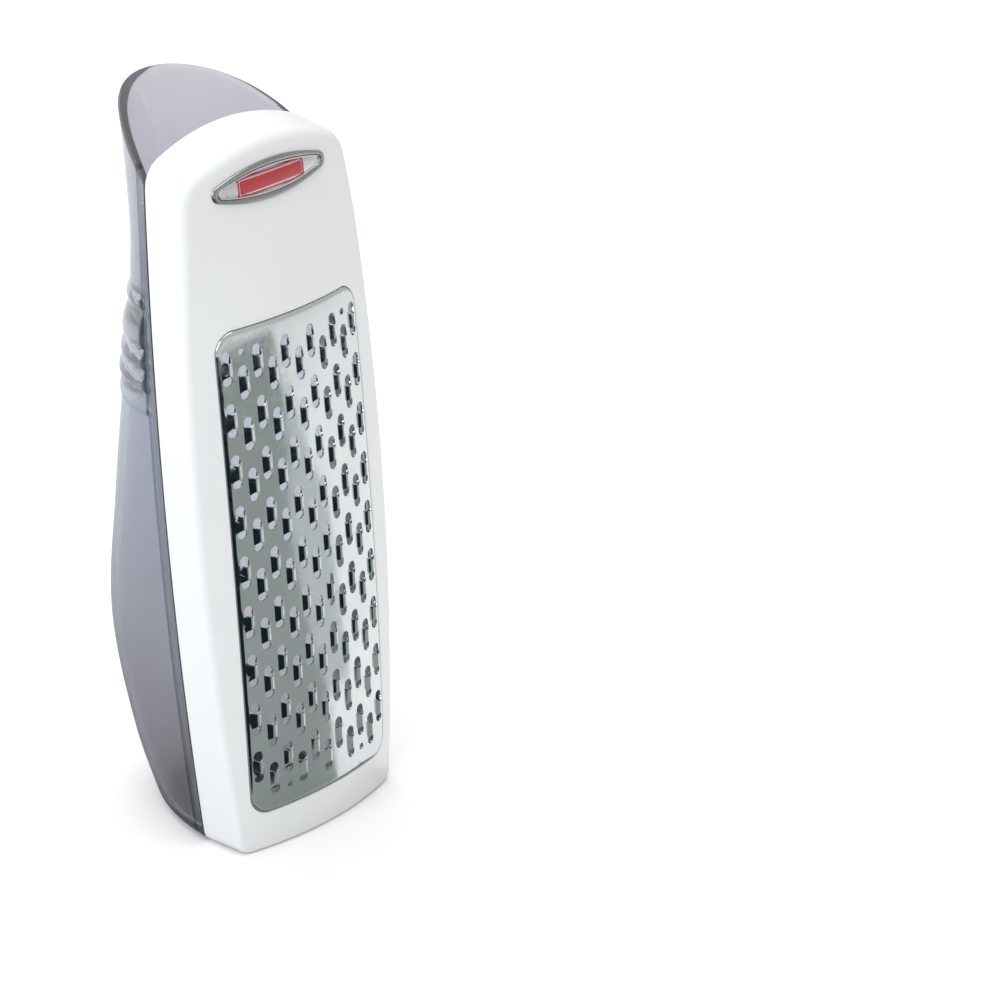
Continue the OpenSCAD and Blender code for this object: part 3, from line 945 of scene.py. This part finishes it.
def plastic(name, dark, light, rough, coat=0.0):
    """Moulded plastic: a barely mottled colour, a fine grain and a thin gloss coat."""
    material, shader = new_material(name)
    where = place(material)
    links = material.node_tree.links
    links.new(ramp(material, noise(material, where, 22.0), [(0.3, dark), (0.7, light)]),
              shader.inputs["Base Color"])
    links.new(ramp(material, noise(material, where, 130.0, 4.0),
                   [(0.3, rough - 0.02), (0.7, rough + 0.02)]), shader.inputs["Roughness"])
    links.new(bump(material, noise(material, where, PLASTIC_GRAIN, 2.0), 0.025, FINE_BUMP),
              shader.inputs["Normal"])
    shader.inputs["Coat Weight"].default_value = coat
    shader.inputs["Coat Roughness"].default_value = 0.12
    shader.inputs["IOR"].default_value = 1.5
    return material


def metal(name, dark, light, rough, stretch=(1, 1, 1)):
    """Bare metal with uneven polish. Stretching below 1 along an axis gives a brushed look."""
    material, shader = new_material(name)
    where = place(material, stretch)
    links = material.node_tree.links
    links.new(ramp(material, noise(material, where, 60.0, 4.0), [(0.3, dark), (0.7, light)]),
              shader.inputs["Base Color"])
    links.new(ramp(material, noise(material, where, 420.0, 4.0),
                   [(0.3, rough - 0.05), (0.75, rough + 0.06)]), shader.inputs["Roughness"])
    links.new(bump(material, noise(material, where, METAL_GRAIN), 0.06, FINE_BUMP),
              shader.inputs["Normal"])
    shader.inputs["Metallic"].default_value = 1.0
    return material


# the smoky tint up the container's height, with painted shade that darkens the base and the neck
SMOKE_AND_PAINTED_SHADE_BY_HEIGHT = [(0.0, (0.50, 0.48, 0.49)), (0.3, (0.645, 0.65, 0.69)),
                   (0.6, (0.665, 0.69, 0.745)), (0.8, (0.48, 0.50, 0.545)),
                   (0.9, (0.64, 0.635, 0.675)), (1.0, (0.66, 0.64, 0.68))]
# a painted shade line along the lip, a short way behind the seam
PAINTED_LIP_SHADE_COLOUR = (0.30, 0.38, 0.48)
PAINTED_LIP_SHADE_RAMP = [(0.0, 1.0), (0.27, 1.0), (0.30, PAINTED_LIP_SHADE_COLOUR), (0.37, PAINTED_LIP_SHADE_COLOUR), (0.41, 1.0)]


def height_share(material, where):
    """The share of the container's height, from 0 at its base to 1 at the spout's tip."""
    nodes, links = material.node_tree.nodes, material.node_tree.links
    parts = nodes.new("ShaderNodeSeparateXYZ")
    links.new(where, parts.inputs["Vector"])
    share = nodes.new("ShaderNodeMath")
    share.operation = "DIVIDE"
    share.inputs[1].default_value = SPOUT_H * MM
    links.new(parts.outputs["Z"], share.inputs[0])
    return share.outputs["Value"]


def multiply(material, first, second):
    """The product of two colours."""
    node = material.node_tree.nodes.new("ShaderNodeMix")
    node.data_type = "RGBA"
    node.blend_type = "MULTIPLY"
    factor, a, b = node.inputs[0], node.inputs[6], node.inputs[7]
    factor.default_value = 1.0
    material.node_tree.links.new(first, a)
    material.node_tree.links.new(second, b)
    return node.outputs[2]


def smoky_plastic(name):
    """Clear smoky plastic, with painted shade that darkens the base and the neck, and a painted shade
    line along the lip.
    """
    material, shader = new_material(name)
    where = place(material)
    nodes, links = material.node_tree.nodes, material.node_tree.links
    # the smoky tint with painted shade by height, darker at the base and the neck
    smoke_and_shade = ramp(material, height_share(material, where), SMOKE_AND_PAINTED_SHADE_BY_HEIGHT)
    # painted shade line on the lip next to the seam, also pressed in a little as a bump
    gap = nodes.new("ShaderNodeAttribute")
    gap.attribute_name = "seam_gap"
    line = ramp(material, gap.outputs["Fac"], PAINTED_LIP_SHADE_RAMP)
    links.new(multiply(material, smoke_and_shade, line), shader.inputs["Base Color"])
    links.new(ramp(material, noise(material, where, 90.0, 4.0), [(0.3, 0.055), (0.75, 0.10)]),
              shader.inputs["Roughness"])
    ripple = bump(material, noise(material, where, 260.0, 2.0), 0.02, 0.0002)
    links.new(bump(material, line, 0.3, 0.0002, ripple), shader.inputs["Normal"])
    shader.inputs["Transmission Weight"].default_value = 0.87
    shader.inputs["IOR"].default_value = 1.46
    # thicker places and edges seen end on look darker
    smoke = nodes.new("ShaderNodeVolumeAbsorption")
    smoke.inputs["Color"].default_value = (0.42, 0.45, 0.55, 1)
    smoke.inputs["Density"].default_value = 160.0
    output = next(n for n in nodes if n.type == "OUTPUT_MATERIAL")
    links.new(smoke.outputs["Volume"], output.inputs["Volume"])
    return material


WHITE = plastic("white_plastic", (0.762, 0.775, 0.777), (0.777, 0.79, 0.792), 0.3, coat=0.15)
STEEL = metal("plate_steel", (0.58, 0.61, 0.605), (0.64, 0.67, 0.665), 0.12)
INNER = plastic("inner_plastic", (0.70, 0.71, 0.73), (0.75, 0.76, 0.78), 0.5)
BEZEL = metal("bezel_metal", (0.30, 0.305, 0.29), (0.36, 0.365, 0.345), 0.26)
INSERT = metal("insert_metal", (0.62, 0.63, 0.65), (0.72, 0.73, 0.75), 0.27, stretch=(0.1, 1, 1))
RED = plastic("red_panel", (0.40, 0.010, 0.018), (0.47, 0.016, 0.026), 0.3, coat=0.5)
SMOKY = smoky_plastic("smoky_plastic")


# ---------------------------------------------------------------- the pieces
def add_piece(name, mesh, material, body, slot_name, *nodes, angle=35.0):
    """A finished piece that rides on a body in place of the CAD nodes."""
    piece = make_object(name, mesh[0], mesh[1], material, angle)
    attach(piece, body)
    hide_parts(*nodes)
    return piece


def mark_seam_gap(piece):
    """Stores how far each point stands behind the seam, in cm, for the painted shade line on the lip."""
    spots = np.empty(len(piece.data.vertices) * 3)
    piece.data.vertices.foreach_get("co", spots)
    spots = spots.reshape(-1, 3) / MM
    gap = (spots[:, 1] - seam_y(spots[:, 2])) / 10
    layer = piece.data.attributes.new("seam_gap", "FLOAT", "POINT")
    layer.data.foreach_set("value", gap)


housing = join_parts([loops_mesh(housing_loops(), close=True), skirt_mesh(), stud_mesh()])
add_piece("housing_shell", housing, WHITE, "grater", "white_plastic", "front_housing")
add_piece("steel_plate", plate_mesh(), STEEL, "grater", "plate_steel", "grating_plate", angle=48.0)
add_piece("badge_rim", bezel_mesh(), BEZEL, "grater", "bezel_metal", "badge_bezel")
add_piece("badge_face", insert_mesh(), INSERT, "grater", "insert_metal", "badge_insert")
add_piece("badge_inlay", panel_mesh(), RED, "grater", "red_panel", "badge_panel")
container = add_piece("smoky_container", container_mesh(), SMOKY, "container", "smoky_plastic",
                      "container")
mark_seam_gap(container)

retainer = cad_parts["plate_retainer"]
retainer.data.materials.clear()
retainer.data.materials.append(INNER)


# ---------------------------------------------------------------- stage, light and camera
FLOOR_HALF = 6.0


def matt(name, colour):
    """A dull paint with no gloss at all."""
    material, shader = new_material(name)
    shader.inputs["Base Color"].default_value = colour
    shader.inputs["Roughness"].default_value = 0.9
    shader.inputs["Specular IOR Level"].default_value = 0.0
    return material


def flat_sheet(name, corners, height, material):
    """A level sheet of the studio, from its corners in metres."""
    mesh = bpy.data.meshes.new(name)
    mesh.from_pydata([(x, y, height) for x, y in corners], [], [tuple(range(len(corners)))])
    mesh.materials.append(material)
    sheet = bpy.data.objects.new(name, mesh)
    bpy.context.scene.collection.objects.link(sheet)
    return sheet


def add_light(name, place_at, aim, size, power, colour=(1, 1, 1)):
    """A soft rectangular light."""
    data = bpy.data.lights.new(name, "AREA")
    data.shape = "RECTANGLE"
    data.size, data.size_y = size
    data.energy = power
    data.color = colour
    light = bpy.data.objects.new(name, data)
    light.location = place_at
    light.rotation_euler = (Vector(aim) - Vector(place_at)).to_track_quat("-Z", "Y").to_euler()
    bpy.context.scene.collection.objects.link(light)


CARD_Z = 0.0006


def add_card(name, corners, material):
    """A studio card that lies on the floor and only shows in reflections."""
    card = flat_sheet(name, corners, CARD_Z, material)
    card.visible_camera = False
    card.visible_diffuse = False
    card.visible_shadow = False
    card.visible_transmission = False


def fading_paint(name, stops):
    """A dull paint whose colour changes with the distance from the object, in half metres."""
    material = matt(name, (1, 1, 1, 1))
    nodes, links = material.node_tree.nodes, material.node_tree.links
    reach = nodes.new("ShaderNodeVectorMath")
    reach.operation = "LENGTH"
    links.new(place(material, (2, 2, 0)), reach.inputs[0])
    shader = next(node for node in nodes if node.type == "BSDF_PRINCIPLED")
    links.new(ramp(material, reach.outputs["Value"], stops), shader.inputs["Base Color"])
    return material


flat_sheet("floor", [(-FLOOR_HALF, -FLOOR_HALF), (FLOOR_HALF, -FLOOR_HALF),
                     (FLOOR_HALF, FLOOR_HALF), (-FLOOR_HALF, FLOOR_HALF)],
           0.0, matt("floor_paint", (0.92, 0.92, 0.922, 1)))

# the borders between the cards in front, which the plate mirrors as its dark, grey and white bands
DARK_BORDER = [(-0.06, -0.045), (-0.046, -0.08), (-0.046, -0.15), (-0.03, -0.4), (0.03, -0.8)]
GREY_BORDER = [(0.072, -0.10), (0.16, -0.27), (0.30, -0.44)]
PALE_BORDER = [(0.332, -0.43), (0.238, -0.21), (0.094, -0.087)]
add_card("pale_card", GREY_BORDER + PALE_BORDER, matt("pale_card", (0.52, 0.55, 0.54, 1)))
add_card("green_grey_card",
         [DARK_BORDER[0], (0.02, -0.05)] + GREY_BORDER + [(0.50, -0.8)] + DARK_BORDER[:0:-1],
         matt("green_grey_card", (0.31, 0.335, 0.325, 1)))
add_card("dark_card", DARK_BORDER + [(-0.9, -0.8), (-0.9, -0.045)],
         matt("dark_card", (0.006, 0.014, 0.018, 1)))
# the card behind and beside the container, which its smooth sides mirror
add_card("slate_card", [(-0.9, -0.045), (0.036, -0.045), (0.036, 0.0), (0.1, 0.06), (0.6, 0.3),
                        (0.6, 0.9), (-0.9, 0.9)],
         fading_paint("slate_card", [(0.12, (0.17, 0.17, 0.19)), (0.5, (0.52, 0.54, 0.57)),
                                     (1.0, (0.86, 0.88, 0.90))]))

AIM = (0.0, 0.0, 0.1)
add_light("key_left", (-1.3, -0.15, 1.0), AIM, (1.1, 1.1), 10.5, (0.93, 0.98, 1.0))
add_light("back_rim", (0.2, 1.2, 0.38), AIM, (1.3, 0.7), 4.0)
add_light("top_soft", (0.1, 0.3, 1.7), AIM, (1.6, 1.6), 18.5)

world = bpy.data.worlds.new("studio")
world.use_nodes = True
background = world.node_tree.nodes["Background"]
background.inputs["Color"].default_value = (0.985, 0.985, 0.992, 1)
background.inputs["Strength"].default_value = 0.67
bpy.context.scene.world = world
bpy.context.scene.view_settings.view_transform = "Standard"

CAMERA_AT = (-0.7406, -0.7102, 0.5316)
CAMERA_RIGHT = Vector((0.63731, -0.77060, 0.0017))
CAMERA_UP = Vector((0.30499, 0.25430, 0.91778))
CAMERA_LENS = 144.0
CAMERA_SENSOR = 36.0

camera_data = bpy.data.cameras.new("camera")
camera_data.lens = CAMERA_LENS
camera_data.sensor_width = CAMERA_SENSOR
camera_data.clip_start = 0.01
camera = bpy.data.objects.new("camera", camera_data)
camera_back = CAMERA_RIGHT.cross(CAMERA_UP).normalized()
camera_up = camera_back.cross(CAMERA_RIGHT).normalized()
turn = Matrix((CAMERA_RIGHT.normalized(), camera_up, camera_back)).transposed()
camera.matrix_world = Matrix.Translation(CAMERA_AT) @ turn.to_4x4()
bpy.context.scene.collection.objects.link(camera)
bpy.context.scene.camera = camera
